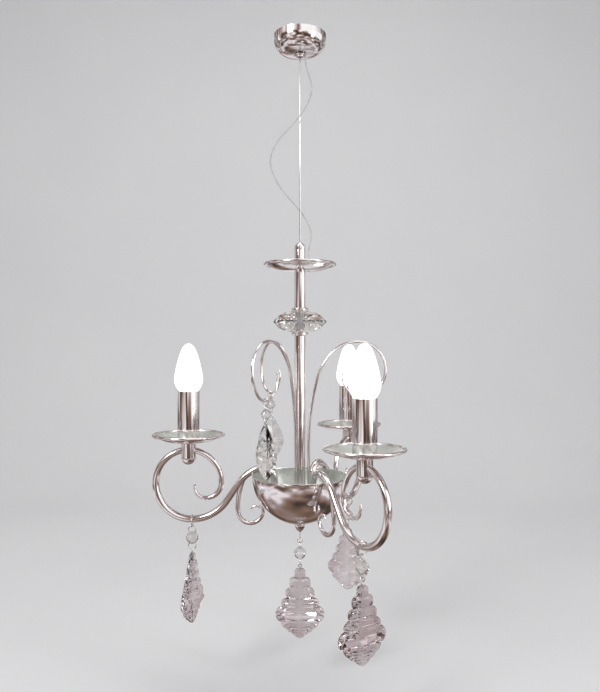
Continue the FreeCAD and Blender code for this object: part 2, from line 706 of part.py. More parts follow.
# half outline of the leaf pendant, as shares of its height from the top and of its half width
LEAF = [(0.0, 0.0), (0.02, 0.16), (0.09, 0.24), (0.14, 0.22), (0.17, 0.38), (0.23, 0.44), (0.28, 0.40),
        (0.31, 0.55), (0.37, 0.60), (0.42, 0.55), (0.46, 0.72), (0.52, 0.77), (0.57, 0.80), (0.63, 0.96),
        (0.71, 1.0), (0.75, 0.92), (0.79, 0.78), (0.84, 0.74), (0.86, 0.54), (0.91, 0.48), (0.94, 0.26),
        (0.985, 0.17), (1.0, 0.0)]
ALMOND = [(0.0, 0.0), (0.03, 0.16), (0.13, 0.38), (0.27, 0.68), (0.42, 0.92), (0.56, 1.0), (0.70, 0.90),
          (0.82, 0.68), (0.92, 0.38), (0.98, 0.15), (1.0, 0.0)]


def pendant(outline, width, height, thick, edge, belly):
    """A cut crystal leaf that hangs from its own origin, flat to the x axis, thickest at its belly."""
    half, rim = width.value / 2, edge.value / 2
    sides = [(-share * height.value, wide * half) for share, wide in outline]

    def crest(share):
        grow = share / belly if share < belly else (1 - share) / (1 - belly)
        return rim + (thick.value / 2 - rim) * grow

    faces = []

    def facet(*corners):
        if Part.makePolygon([*corners, corners[0]]).Length > 0 and \
                (corners[1] - corners[0]).cross(corners[2] - corners[0]).Length > 1e-6:
            faces.append(Part.Face(Part.makePolygon([*corners, corners[0]])))

    for (share, _), (next_share, _), (z, wide), (next_z, next_wide) in zip(outline, outline[1:], sides, sides[1:]):
        for face in (1, -1):
            ridge = Vector(crest(share) * face, 0, z)
            next_ridge = Vector(crest(next_share) * face, 0, next_z)
            for side in (1, -1):
                near = Vector(rim * face, wide * side, z)
                after = Vector(rim * face, next_wide * side, next_z)
                facet(near, after, next_ridge)
                facet(near, next_ridge, ridge)
        for side in (1, -1):
            first, second = Vector(rim, wide * side, z), Vector(-rim, wide * side, z)
            third, fourth = Vector(-rim, next_wide * side, next_z), Vector(rim, next_wide * side, next_z)
            facet(first, second, third)
            facet(first, third, fourth)
    shell = Part.Shell(faces)
    shell.sewShape()
    solid = Part.Solid(shell)
    if solid.Volume < 0:
        solid.reverse()
    return solid


def ring_shape(mean, wire, level, axis):
    return Part.makeTorus(mean, wire, Vector(0, 0, level), axis)


def bead_shape(sizes, level):
    """A cut bead of (radius, height, shoulder radius, shoulder height), centred at a level."""
    radius, height, shoulder, rise = [size.value for size in sizes]
    sides, table = int(s.bead_sides.value), s.bead_table.value
    return faceted([polygon_ring(sides, table, level - height / 2, 0), polygon_ring(sides, shoulder, level - rise, 0),
                    polygon_ring(sides, radius, level, 0.5), polygon_ring(sides, shoulder, level + rise, 0),
                    polygon_ring(sides, table, level + height / 2, 0)])


def drop(name, pivot, azimuth, top, ring_mean, bead, leaf, twist=0):
    """Rings, bead, eye pin and pendant that hang at a pivot; the pivot's axis is the radial one.

    top holds the hook ring's mean radius, its centre and the wire radius of what the next ring holds.
    """
    wire, gap, inset, eye = s.ring_wire.value, s.link_gap.value, s.bead_hole_in.value, s.pin_eye.value
    radial, across, down = Vector(1, 0, 0), Vector(0, 1, 0), Vector(0, 0, -1)
    hook_mean, hook_centre, held_wire = top
    hook = [ring_shape(hook_mean, wire, hook_centre, radial)] if held_wire == wire else []
    ring_centre = hook_centre - hook_mean + wire + gap + held_wire - ring_mean
    bead_top = ring_centre - ring_mean + inset
    bead_height = bead[1].value
    low_ring = bead_top - bead_height + inset - ring_mean
    bead_solid = bead_shape(bead, bead_top - bead_height / 2)
    for level in (ring_centre, low_ring):
        bead_solid = bead_solid.cut(ring_shape(ring_mean, wire + gap, level, across))
    eye_centre = low_ring - ring_mean + 2 * wire + gap - eye
    leaf_top = eye_centre - eye - s.pin_show.value
    pin = Part.makeCylinder(wire, s.pin_show.value + s.pin_in.value, Vector(0, 0, eye_centre - eye), down)
    eye_pin = ring_shape(eye, wire, eye_centre, radial).fuse(pin)
    hole = Part.makeCylinder(wire + gap, s.pin_in.value + gap, Vector(0, 0, leaf_top), down)
    leaf_solid = leaf.translated(Vector(0, 0, leaf_top)).cut(hole)
    place = FreeCAD.Placement(pivot, Rotation(UP, azimuth))
    turned_place = FreeCAD.Placement(pivot, Rotation(UP, azimuth + twist))
    rings = hook + [ring_shape(ring_mean, wire, level, across) for level in (ring_centre, low_ring)] + [eye_pin]
    fixed_shape(Part.makeCompound(rings), "drop_rings_" + name, place)
    fixed_shape(bead_solid, "bead_" + name, place)
    fixed_shape(leaf_solid, "pendant_" + name, turned_place)


# ---------------------------------------------------------------- flex

# points that the flex runs by, from the grip to the bush in the top dish: x, y, share of the way down
FLEX = [(13.0, -3, 0.118), (15.2, -4.5, 0.186), (4.5, -5, 0.27), (-12, -5, 0.343), (-29, -3, 0.408),
        (-39, 1, 0.496), (-29, 5, 0.599), (-10, 6, 0.683), (7, 5.5, 0.759), (15.5, 3, 0.84)]


# share of the shorter run that each corner of the flex takes up
CORNER_SHARE = 0.45


def flex_points():
    """The flex leaves the grip straight down and enters the bush straight down."""
    top = grip_bottom.value + s.grip_flange.value / 2
    fall = top - (dish_rim - s.pan_depth + s.bush_height).value
    start, end = s.flex_offset.value, s.bush_offset.value
    return [(start, 0, top), (start, 0, top - 0.053 * fall)] + \
        [(x, y, top - share * fall) for x, y, share in FLEX] + \
        [(end, 0.5, top - 0.908 * fall), (end, 0, top - 0.962 * fall), (end, 0, top - fall)]


def flex_cord(points, radius):
    """A tube of straight runs joined by arcs, each as large as its two runs allow."""
    spots = [Vector(*point) for point in points]
    edges, start = [], spots[0]
    radii = []
    for before, corner, after in zip(spots, spots[1:], spots[2:]):
        back, ahead = before - corner, after - corner
        shorter = min(back.Length, ahead.Length)
        half_turn = (math.pi - back.getAngle(ahead)) / 2
        cut_back = CORNER_SHARE * shorter
        radii.append(cut_back / math.tan(half_turn))
        back.normalize()
        ahead.normalize()
        enter, leave = corner + back * cut_back, corner + ahead * cut_back
        bisector = (back + ahead).normalize()
        centre = corner + bisector * (radii[-1] / math.cos(half_turn))
        middle = centre - bisector * radii[-1]
        edges.append(Part.LineSegment(start, enter).toShape())
        edges.append(Part.Arc(enter, middle, leave).toShape())
        start = leave
    edges.append(Part.LineSegment(start, spots[-1]).toShape())
    path = Part.Wire(edges)
    section = Part.Wire(Part.makeCircle(radius, spots[0], spots[1] - spots[0]))
    solid = path.makePipeShell([section], True, True)
    print("flex radii", [round(value, 1) for value in radii])
    print("flex length", round(path.Length, 1), "volume ratio",
          round(solid.Volume / (path.Length * math.pi * radius * radius), 4))
    return fixed_shape(solid, "flex_cord")


# ---------------------------------------------------------------- the whole chandelier

ceiling_bracket()
canopy_nipple()
canopy_shell()
cable_grip()
terminal_block()
suspension_wire()
stem_cap()
tube("upper_tube", cap_bottom, disc_middle + s.disc_height / 2 + s.collar_height)
tube("lower_tube", disc_middle - s.disc_height / 2 - s.collar_height, hub_top)
top_pan()
cord_bush()
collars()
crystal_disc()
threaded_rod()
bowl()
arm_hub()
eye_height = finial().value

arm_path, arm_foot_point, arm_crown = arm_route()
small_path = small_route(arm_path)
bow_path, bow_heel_point = bow_route()
leaf_solid = pendant(LEAF, s.leaf_width, s.leaf_height, s.leaf_thick, s.leaf_edge, s.leaf_belly.value)
almond_solid = pendant(ALMOND, s.almond_width, s.almond_height, s.almond_thick, s.almond_edge,
                       s.almond_belly.value)
leaf_bead = (s.bead_radius, s.bead_height, s.bead_shoulder, s.bead_shoulder_height)
bow_bead = (s.bow_bead_radius, s.bow_bead_height, s.bow_bead_shoulder, s.bow_bead_shoulder_height)
TWISTS = {"left": s.left_twist.value, "bow_front": s.bow_front_twist.value}


def hung(bar_radius, inner):
    """A hook ring's mean radius, its centre's height over the bar's axis, and its wire's radius."""
    return inner + s.ring_wire.value, bar_radius + s.running_gap.value - inner, s.ring_wire.value


for arm_name, arm_azimuth in ARMS.items():
    arm_piece(arm_name, arm_azimuth, arm_path, small_path)
    candle(arm_name, arm_azimuth, arm_crown.x, arm_crown.z)
    top = hung(s.arm_tube.value, s.hook_inner.value)
    spot = Rotation(UP, arm_azimuth).multVec(arm_foot_point)
    drop(arm_name, spot, arm_azimuth, top, s.ring_mean.value, leaf_bead, leaf_solid, TWISTS.get(arm_name, 0))
    print("pivot", "drop_" + arm_name, [round(value, 4) for value in spot])

for bow_name, bow_azimuth in BOWS.items():
    bow_piece(bow_name, bow_azimuth, bow_path)
    top = hung(s.bow_tube.value, s.bow_hook_inner.value)
    spot = Rotation(UP, bow_azimuth).multVec(bow_heel_point)
    drop("bow_" + bow_name, spot, bow_azimuth, top, s.bow_ring_mean.value, bow_bead, almond_solid,
         TWISTS.get("bow_" + bow_name, 0))
    print("pivot", "drop_bow_" + bow_name, [round(value, 4) for value in spot])

drop("centre", Vector(0, 0, eye_height), 90, (s.finial_eye.value, 0, s.finial_pin_radius.value),
     s.ring_mean.value, leaf_bead, leaf_solid)
print("pivot drop_centre", round(eye_height, 4), "swing", swing_height.value,
      "candle", [round(value, 4) for value in arm_crown], "flex top", flex_points()[0][2])
flex_cord(flex_points(), s.flex_radius.value)

# ---------------------------------------------------------------- checks and files

doc.recompute()
for item in doc.Objects:
    if "Invalid" in item.State or "Error" in item.State:
        raise RuntimeError("%s failed: %s" % (item.Label, item.State))
for part in parts:
    if part.Shape.isNull() or not part.Shape.isValid() or not part.Shape.Solids:
        raise RuntimeError("bad shape: " + part.Label)

os.makedirs("parts", exist_ok=True)
for part in parts:
    part.Shape.exportStep("parts/%s.step" % part.Label)
print(len(parts), "parts written")
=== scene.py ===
"""Looks of a small three-arm crystal chandelier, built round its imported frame. Metres, +Z up."""
import math

import bpy
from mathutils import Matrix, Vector


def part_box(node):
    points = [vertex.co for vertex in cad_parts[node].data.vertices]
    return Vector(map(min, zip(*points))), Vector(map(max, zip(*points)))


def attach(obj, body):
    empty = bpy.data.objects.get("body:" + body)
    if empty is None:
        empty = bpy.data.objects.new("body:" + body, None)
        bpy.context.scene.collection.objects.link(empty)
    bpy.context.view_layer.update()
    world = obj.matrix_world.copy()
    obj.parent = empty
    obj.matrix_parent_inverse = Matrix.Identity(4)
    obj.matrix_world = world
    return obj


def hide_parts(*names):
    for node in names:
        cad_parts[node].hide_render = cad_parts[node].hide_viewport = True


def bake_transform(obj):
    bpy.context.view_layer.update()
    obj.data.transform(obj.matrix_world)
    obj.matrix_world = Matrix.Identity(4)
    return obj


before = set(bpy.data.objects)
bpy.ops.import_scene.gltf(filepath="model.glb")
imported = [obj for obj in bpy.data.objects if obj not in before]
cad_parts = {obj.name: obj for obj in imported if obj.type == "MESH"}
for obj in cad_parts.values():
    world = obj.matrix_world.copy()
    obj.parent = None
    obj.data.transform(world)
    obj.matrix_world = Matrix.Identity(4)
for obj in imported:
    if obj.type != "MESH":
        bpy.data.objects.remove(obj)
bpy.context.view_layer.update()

CEILING, FIXTURE = "ceiling_mount", "fixture"
# azimuths in degrees of the arms and of the upper wires, and the twist of drops that hang askew
ARMS = {"left": 180, "front": -60, "back": 60}
BOWS = {"right": 0, "front": -120, "back": 120}
TWISTS = {"left": -15, "bow_front": -20}

# ---------------------------------------------------------------- materials


def material(name, color, roughness, metallic=0.0, **sockets):
    """A principled material; its number sockets are set directly."""
    made = bpy.data.materials.new(name)
    made.use_nodes = True
    shader = shader_of(made)
    shader.inputs["Base Color"].default_value = (*color, 1)
    shader.inputs["Roughness"].default_value = roughness
    shader.inputs["Metallic"].default_value = metallic
    for socket, value in sockets.items():
        shader.inputs[socket.replace("_", " ")].default_value = value
    return made


def shader_of(made):
    return made.node_tree.nodes["Principled BSDF"]


def noise_node(made, scale, detail=4.0, stretch=(1, 1, 1)):
    """Noise in the object's own coordinates, finer along an axis with a larger stretch."""
    tree = made.node_tree
    place = tree.nodes.new("ShaderNodeTexCoord")
    mapping = tree.nodes.new("ShaderNodeMapping")
    mapping.inputs["Scale"].default_value = stretch
    noise = tree.nodes.new("ShaderNodeTexNoise")
    noise.inputs["Scale"].default_value = scale
    noise.inputs["Detail"].default_value = detail
    tree.links.new(place.outputs["Object"], mapping.inputs["Vector"])
    tree.links.new(mapping.outputs["Vector"], noise.inputs["Vector"])
    return noise


def color_ramp(tree, noise, stops):
    """The color that a noise picks from a ramp of (position, color) stops."""
    ramp = tree.nodes.new("ShaderNodeValToRGB")
    elements = ramp.color_ramp.elements
    for element, (position, color) in zip((elements[0], elements[1]), (stops[0], stops[-1])):
        element.position, element.color = position, (*color, 1)
    for position, color in stops[1:-1]:
        elements.new(position).color = (*color, 1)
    tree.links.new(noise.outputs["Fac"], ramp.inputs["Fac"])
    return ramp.outputs["Color"]


def vary_color(made, noise, low, high, start=0.35, stop=0.7):
    color = color_ramp(made.node_tree, noise, [(start, low), (stop, high)])
    made.node_tree.links.new(color, shader_of(made).inputs["Base Color"])


# the part of a noise's range that most of it lies in
NOISE_LOW, NOISE_HIGH = 0.3, 0.7


def vary_roughness(made, noise, low, high):
    tree = made.node_tree
    spread = tree.nodes.new("ShaderNodeMapRange")
    spread.inputs["From Min"].default_value = NOISE_LOW
    spread.inputs["From Max"].default_value = NOISE_HIGH
    spread.inputs["To Min"].default_value = low
    spread.inputs["To Max"].default_value = high
    tree.links.new(noise.outputs["Fac"], spread.inputs["Value"])
    tree.links.new(spread.outputs["Result"], shader_of(made).inputs["Roughness"])


def bumpy(made, noise, strength, distance):
    tree = made.node_tree
    bump = tree.nodes.new("ShaderNodeBump")
    bump.inputs["Strength"].default_value = strength
    bump.inputs["Distance"].default_value = distance
    tree.links.new(noise.outputs["Fac"], bump.inputs["Height"])
    tree.links.new(bump.outputs["Normal"], shader_of(made).inputs["Normal"])


def polished_chrome(name, low, high, rough):
    """Bright plating with faint smears and the slight waviness of polished tube."""
    made = material(name, high, rough[0], metallic=1.0)
    vary_color(made, noise_node(made, 28, 5), low, high)
    vary_roughness(made, noise_node(made, 60, 6), *rough)
    bumpy(made, noise_node(made, 45, 2), 0.12, 0.0002)
    return made


chrome = polished_chrome("chrome", (0.80, 0.76, 0.75), (0.95, 0.93, 0.93), (0.07, 0.15))
wire_chrome = polished_chrome("wire_chrome", (0.72, 0.71, 0.71), (0.90, 0.89, 0.89),
                              (0.14, 0.24))

lacquer = material("pan_lacquer", (0.70, 0.74, 0.69), 0.28, metallic=0.3, Coat_Weight=0.4,
                   Coat_Roughness=0.12)
lacquer_speck = noise_node(lacquer, 40, 5)
vary_color(lacquer, lacquer_speck, (0.62, 0.66, 0.61), (0.76, 0.80, 0.75))
vary_roughness(lacquer, lacquer_speck, 0.2, 0.36)
bumpy(lacquer, noise_node(lacquer, 300, 3), 0.06, 0.0002)

steel = material("zinc_steel", (0.6, 0.61, 0.63), 0.35, metallic=1.0)
vary_color(steel, noise_node(steel, 90, 3, (1, 1, 6)), (0.46, 0.47, 0.49), (0.68, 0.69, 0.71))
bumpy(steel, noise_node(steel, 400, 2, (1, 1, 8)), 0.1, 0.0002)


def cut_glass(name, low, high):
    """Lead crystal with a faint tint that drifts through it."""
    made = material(name, high, 0.0, Transmission_Weight=1.0, IOR=1.58)
    vary_color(made, noise_node(made, 18, 2), low, high, 0.35, 0.65)
    return made


crystal = cut_glass("rosy_crystal", (0.74, 0.62, 0.64), (0.97, 0.93, 0.94))
clear_crystal = cut_glass("clear_crystal", (0.90, 0.88, 0.84), (0.99, 0.99, 0.98))

opal = material("opal_lamp", (0.97, 0.96, 0.94), 0.25, Emission_Strength=1.5)
shader_of(opal).inputs["Emission Color"].default_value = (1, 0.985, 0.96, 1)
vary_color(opal, noise_node(opal, 30, 2), (0.93, 0.92, 0.9), (0.98, 0.97, 0.95))

flex_sheath = material("flex_sheath", (0.60, 0.60, 0.60), 0.35)
vary_color(flex_sheath, noise_node(flex_sheath, 200, 2), (0.52, 0.52, 0.52),
           (0.66, 0.66, 0.67))
bumpy(flex_sheath, noise_node(flex_sheath, 900, 2), 0.15, 0.0001)

black_plastic = material("black_plastic", (0.05, 0.05, 0.05), 0.5)
vary_roughness(black_plastic, noise_node(black_plastic, 150, 3), 0.4, 0.6)
white_plastic = material("white_plastic", (0.82, 0.81, 0.78), 0.4)
vary_color(white_plastic, noise_node(white_plastic, 60, 3), (0.76, 0.75, 0.71),
           (0.86, 0.85, 0.82))

# ---------------------------------------------------------------- mesh helpers

# the most of an outline's side that one rounded corner takes
MOST_CUT = 0.49


def fillet(points, steps=6):
    """An outline with its corners rounded: points are (radius, height[, corner radius])."""
    out = []
    count = len(points)
    for index, point in enumerate(points):
        here = Vector(point[:2])
        size = point[2] if len(point) > 2 else 0
        if not size or index in (0, count - 1):
            out.append(here)
            continue
        back = Vector(points[index - 1][:2]) - here
        ahead = Vector(points[index + 1][:2]) - here
        turn = back.angle(ahead)
        reach = min(size / math.tan(turn / 2), back.length * MOST_CUT, ahead.length * MOST_CUT)
        radius = reach * math.tan(turn / 2)
        back.normalize()
        ahead.normalize()
        centre = here + (back + ahead).normalized() * (radius / math.sin(turn / 2))
        first, last = here + back * reach - centre, here + ahead * reach - centre
        sweep = first.angle_signed(last)
        for step in range(steps + 1):
            angle = -sweep * step / steps
            spun = Vector((first.x * math.cos(angle) - first.y * math.sin(angle),
                           first.x * math.sin(angle) + first.y * math.cos(angle)))
            out.append(centre + spun)
    return out


def arc(centre, radius, start, stop, steps=24):
    """Points of an outline along an arc, its angles in degrees."""
    found = []
    for step in range(steps + 1):
        angle = math.radians(start + (stop - start) * step / steps)
        found.append((centre[0] + radius * math.cos(angle),
                      centre[1] + radius * math.sin(angle)))
    return found


def tidy_faces(made, merge_within=None):
    """Turn the faces outwards, after merging points that are nearer than a distance."""
    bpy.context.view_layer.objects.active = made
    made.select_set(True)
    bpy.ops.object.mode_set(mode="EDIT")
    bpy.ops.mesh.select_all(action="SELECT")
    if merge_within:
        bpy.ops.mesh.remove_doubles(threshold=merge_within)
        bpy.ops.mesh.dissolve_degenerate(threshold=merge_within)
    bpy.ops.mesh.normals_make_consistent(inside=False)
    bpy.ops.object.mode_set(mode="OBJECT")
    made.select_set(False)


def new_object(name, verts, faces, mats, smooth=True, sharp=40, face_mats=None):
    """A mesh object; smooth shading stops at edges sharper than so many degrees."""
    mesh = bpy.data.meshes.new(name)
    mesh.from_pydata([tuple(v) for v in verts], [], faces)
    mesh.update()
    for mat in mats:
        mesh.materials.append(mat)
    if face_mats:
        mesh.polygons.foreach_set("material_index", face_mats)
    mesh.polygons.foreach_set("use_smooth", [smooth] * len(mesh.polygons))
    made = bpy.data.objects.new(name, mesh)
    bpy.context.scene.collection.objects.link(made)
    tidy_faces(made)
    if smooth:
        mesh.set_sharp_from_angle(angle=math.radians(sharp))
    return made


# a point of an outline this near the axis is on it
ON_AXIS = 1e-7


def lathe(name, outline, mats=None, at=(0, 0), segments=96, closed=False, second=(), sharp=40):
    """Turn an outline of (radius, height) about the vertical through at. The stretches of a closed
    outline whose numbers are in second take the second material."""
    verts, rings = [], []
    for radius, height in outline:
        if radius < ON_AXIS:
            rings.append([len(verts)] * segments)
            verts.append((at[0], at[1], height))
            continue
        rings.append(list(range(len(verts), len(verts) + segments)))
        for step in range(segments):
            angle = math.tau * step / segments
            verts.append((at[0] + radius * math.cos(angle), at[1] + radius * math.sin(angle),
                          height))
    faces, face_mats = [], []
    pairs = list(zip(rings, rings[1:]))
    if closed:
        pairs.append((rings[-1], rings[0]))
    for number, (low, high) in enumerate(pairs):
        for step in range(segments):
            after = (step + 1) % segments
            corners = []
            for vertex in (low[step], low[after], high[after], high[step]):
                if vertex not in corners:
                    corners.append(vertex)
            if len(corners) > 2:
                faces.append(corners)
                face_mats.append(1 if number in second else 0)
    return new_object(name, verts, faces, mats or [chrome], sharp=sharp, face_mats=face_mats)


def around(point, azimuth):
    """A point of the radial plane (reach, across, height), swung to an azimuth in degrees."""
    angle = math.radians(azimuth)
    x, y, z = point
    return (x * math.cos(angle) - y * math.sin(angle),
            x * math.sin(angle) + y * math.cos(angle), z)


# the angles in degrees of the rings that round the end of a bar
NOSE = (80, 55, 30)


def swept(name, points, radii, mat, sides=20, sharp=50):
    """A round bar along points, with a rounded nose at both ends."""
    spots = [Vector(point) for point in points]
    ways = []
    for index in range(len(spots)):
        ahead = spots[min(index + 1, len(spots) - 1)] - spots[max(index - 1, 0)]
        ways.append(ahead.normalized())
    side = ways[0].orthogonal().normalized()
    verts, rings = [], []

    def ring(centre, way, radius):
        nonlocal side
        side = (side - way * side.dot(way)).normalized()
        other = way.cross(side)
        rings.append(list(range(len(verts), len(verts) + sides)))
        for step in range(sides):
            angle = math.tau * step / sides
            verts.append(centre + (side * math.cos(angle) + other * math.sin(angle)) * radius)

    nose = [math.radians(angle) for angle in NOSE]
    for angle in nose:
        ring(spots[0] - ways[0] * radii[0] * math.sin(angle), ways[0], radii[0] * math.cos(angle))
    for spot, way, radius in zip(spots, ways, radii):
        ring(spot, way, radius)
    for angle in reversed(nose):
        ring(spots[-1] + ways[-1] * radii[-1] * math.sin(angle), ways[-1],
             radii[-1] * math.cos(angle))
    faces = []
    for low, high in zip(rings, rings[1:]):
        for step in range(sides):
            after = (step + 1) % sides
            faces.append([low[step], low[after], high[after], high[step]])
    faces.append(list(reversed(rings[0])))
    faces.append(rings[-1])
    return new_object(name, verts, faces, [mat], sharp=sharp)


def dress(piece, body, slot, *nodes):
    """Let a piece ride on its body and stand for its CAD nodes; its slot is not used."""
    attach(piece, body)
    if nodes:
        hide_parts(*nodes)
    return piece


def join(name, pieces):
    """One object out of several meshes."""
    bpy.ops.object.select_all(action="DESELECT")
    for piece in pieces:
        piece.select_set(True)
    bpy.context.view_layer.objects.active = pieces[0]
    bpy.ops.object.join()
    made = bpy.context.view_layer.objects.active
    made.name = name
    made.select_set(False)
    return made


def torus(name, centre, mean, wire, axis, mat, segments=48, sides=14):
    """A plain ring about an axis through centre, from its mean radius and its wire's radius."""
    normal = Vector(axis).normalized()
    first = normal.orthogonal().normalized()
    second = normal.cross(first)
    verts, faces = [], []
    for step in range(segments):
        angle = math.tau * step / segments
        out = first * math.cos(angle) + second * math.sin(angle)
        for turn in range(sides):
            bend = math.tau * turn / sides
            verts.append(Vector(centre) + out * (mean + wire * math.cos(bend))
                         + normal * wire * math.sin(bend))
    for step in range(segments):
        after = (step + 1) % segments
        for turn in range(sides):
            beside = (turn + 1) % sides
            faces.append([step * sides + turn, after * sides + turn, after * sides + beside,
                          step * sides + beside])
    return new_object(name, verts, faces, [mat], sharp=80)


# ---------------------------------------------------------------- camera

EYE_LEVEL = -0.3823
EYE_DISTANCE = 0.850
LENS = 35.9
camera_data = bpy.data.cameras.new("camera")
camera_data.sensor_width = 36
camera_data.lens = LENS
camera_data.clip_start = 0.01
camera = bpy.data.objects.new("camera", camera_data)
camera.location = (0, -EYE_DISTANCE, EYE_LEVEL)
camera.rotation_euler = (math.radians(90), 0, 0)
bpy.context.scene.collection.objects.link(camera)
bpy.context.scene.camera = camera

# ---------------------------------------------------------------- flex

# points that the flex runs by, from the grip down to the bush in the top dish
FLEX = [(0.0065, 0, -0.0243), (0.0065, 0, -0.038182), (0.013, -0.003, -0.055192),
        (0.0152, -0.0045, -0.073), (0.0045, -0.005, -0.0950), (-0.012, -0.005, -0.114114),
        (-0.029, -0.003, -0.131136), (-0.039, 0.001, -0.154176), (-0.029, 0.005, -0.181138),
        (-0.010, 0.006, -0.20313), (0.007, 0.0055, -0.223), (0.0155, 0.003, -0.2442),
        (0.0105, 0.0005, -0.262), (0.0105, 0, -0.276), (0.0105, 0, -0.2863)]
FLEX_DIAMETER = 0.002


def route_points(name, points):
    """Points read along the smooth NURBS line that has these points as its control points."""
    curve = bpy.data.curves.new(name, "CURVE")
    curve.dimensions = "3D"
    curve.resolution_u = 12
    spline = curve.splines.new("NURBS")
    spline.points.add(len(points) - 1)
    for point, place in zip(spline.points, points):
        point.co = (*place, 1)
    spline.order_u = 3
    spline.use_endpoint_u = True
    line = bpy.data.objects.new(name, curve)
    bpy.context.scene.collection.objects.link(line)
    bpy.context.view_layer.update()
    mesh = bpy.data.meshes.new_from_object(line)
    found = [tuple(vertex.co) for vertex in mesh.vertices]
    bpy.data.objects.remove(line)
    bpy.data.meshes.remove(mesh)
    return found


def make_flex():
    line = route_points("flex_line", FLEX)
    flex = swept("flex", line, [FLEX_DIAMETER / 2] * len(line), flex_sheath, sides=14, sharp=80)
    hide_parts("flex_cord")
    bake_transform(flex)


# ---------------------------------------------------------------- canopy, stem, bowl

CANOPY_WALL, CANOPY_CROWN, CANOPY_FLAT = 0.0012, 0.130, 0.018
WIRE_RADIUS = 0.0009
TUBE_RADIUS, TUBE_BORE = 0.0066, 0.0056
TUBE_GAP = 0.0001       # between a tube's upper end and what sits on it
COLLAR_RADIUS, COLLAR_BORE, COLLAR_HEIGHT = 0.0102, 0.0060, 0.0043
PAN_RADIUS, PAN_DEPTH, PAN_LIP = 0.04465, 0.0103, 0.0018
PAN_FLAT, PAN_BEND, PAN_SHEET = 0.0090, 0.013, 0.0010
PAN_SWEEP, PAN_STEPS = 2.1, 10      # the power by which a pan's floor rises outwards
PAN_HOLE, TOP_PAN_HOLE = 0.00485, 0.00665
BOWL_WALL = 0.0012
FINIAL_EYE, FINIAL_WIRE = 0.0026, 0.00075
TURNED = 64             # segments of a small turned piece


def canopy_skin(radius, depth, inset):
    """Half outline of the canopy, from its middle out to its rim, moved inwards by inset. It is a
    crown and a tighter knuckle that meet without a corner where the crown is CANOPY_FLAT out."""
    slope = CANOPY_FLAT / CANOPY_CROWN
    lean = math.degrees(math.asin(slope))
    knuckle = (radius - CANOPY_FLAT) / (1 - slope)
    reach = radius - knuckle
    level = CANOPY_CROWN - depth - (CANOPY_CROWN - knuckle) * math.cos(math.radians(lean))
    bottom = arc((0, CANOPY_CROWN - depth), CANOPY_CROWN - inset, -90, -90 + lean, 12)
    side = arc((reach, level), knuckle - inset, -90 + lean, 0, 28)
    return bottom + side[1:] + [(radius - inset, 0.0)]


def turned(name, node, corners, body=FIXTURE, **options):
    """A plated piece turned from an outline with rounded corners; it stands for its CAD node."""
    options.setdefault("segments", TURNED)
    dress(lathe(name, fillet(corners), **options), body, "chrome", node)


def make_canopy():
    low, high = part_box("canopy_shell")
    outer = canopy_skin(high.x, -low.z, 0)
    inner = canopy_skin(high.x, -low.z, CANOPY_WALL)
    shell = lathe("canopy_shell_plated", outer + inner[::-1], segments=128, sharp=60)
    dress(shell, CEILING, "chrome", "canopy_shell")
    # the grip's nose stands below its flange, and its collar above, inside the canopy
    bore, nose, flange, collar = 0.0024, 0.0052, 0.0080, 0.0056
    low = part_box("cable_grip")[0].z
    step, top = low + 0.0016, low + 0.0032
    turned("cable_grip_plated", "cable_grip", [
        (bore, low + 0.003), (bore, low, 0.0002), (nose, low, 0.0007), (nose, step, 0.0003),
        (flange, step, 0.0006), (flange, step + 0.0010, 0.0004), (collar, top, 0.0002),
        (0.0036, top)], CEILING)


def make_stem():
    low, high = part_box("suspension_wire")
    wire = swept("suspension_wire_bright", [(0, 0, high.z - 0.0027), (0, 0, low.z + 0.001)],
                 [WIRE_RADIUS, WIRE_RADIUS], wire_chrome, sides=16)
    dress(wire, FIXTURE, "chrome", "suspension_wire")
    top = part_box("stem_cap")[1].z
    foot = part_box("upper_tube")[1].z
    turned("stem_cap_plated", "stem_cap", [
        (0.0010, top - 0.001), (0.0010, top), (0.0022, top, 0.0006),
        (0.0062, top - 0.0036, 0.0012), (TUBE_RADIUS, top - 0.0050, 0.0006),
        (TUBE_RADIUS, foot, 0.0001), (0.0050, foot)])
    for node in ("upper_tube", "lower_tube"):
        low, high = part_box(node)
        top = high.z - TUBE_GAP
        turned(node + "_plated", node, [
            (TUBE_BORE, low.z), (TUBE_RADIUS, low.z, 0.0003), (TUBE_RADIUS, top, 0.0003),
            (TUBE_BORE, top)])
    low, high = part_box("disc_collars")
    edge = COLLAR_RADIUS - 0.0008
    rings = []
    for base in (low.z, high.z - COLLAR_HEIGHT):
        rings.append(lathe("collar", fillet([
            (COLLAR_BORE, base), (edge, base, 0.0006),
            (COLLAR_RADIUS, base + COLLAR_HEIGHT * 0.35, 0.0012),
            (COLLAR_RADIUS, base + COLLAR_HEIGHT * 0.65, 0.0012),
            (edge, base + COLLAR_HEIGHT, 0.0006), (COLLAR_BORE, base + COLLAR_HEIGHT)]),
            segments=TURNED))
    dress(join("disc_collars_plated", rings), FIXTURE, "chrome", "disc_collars")


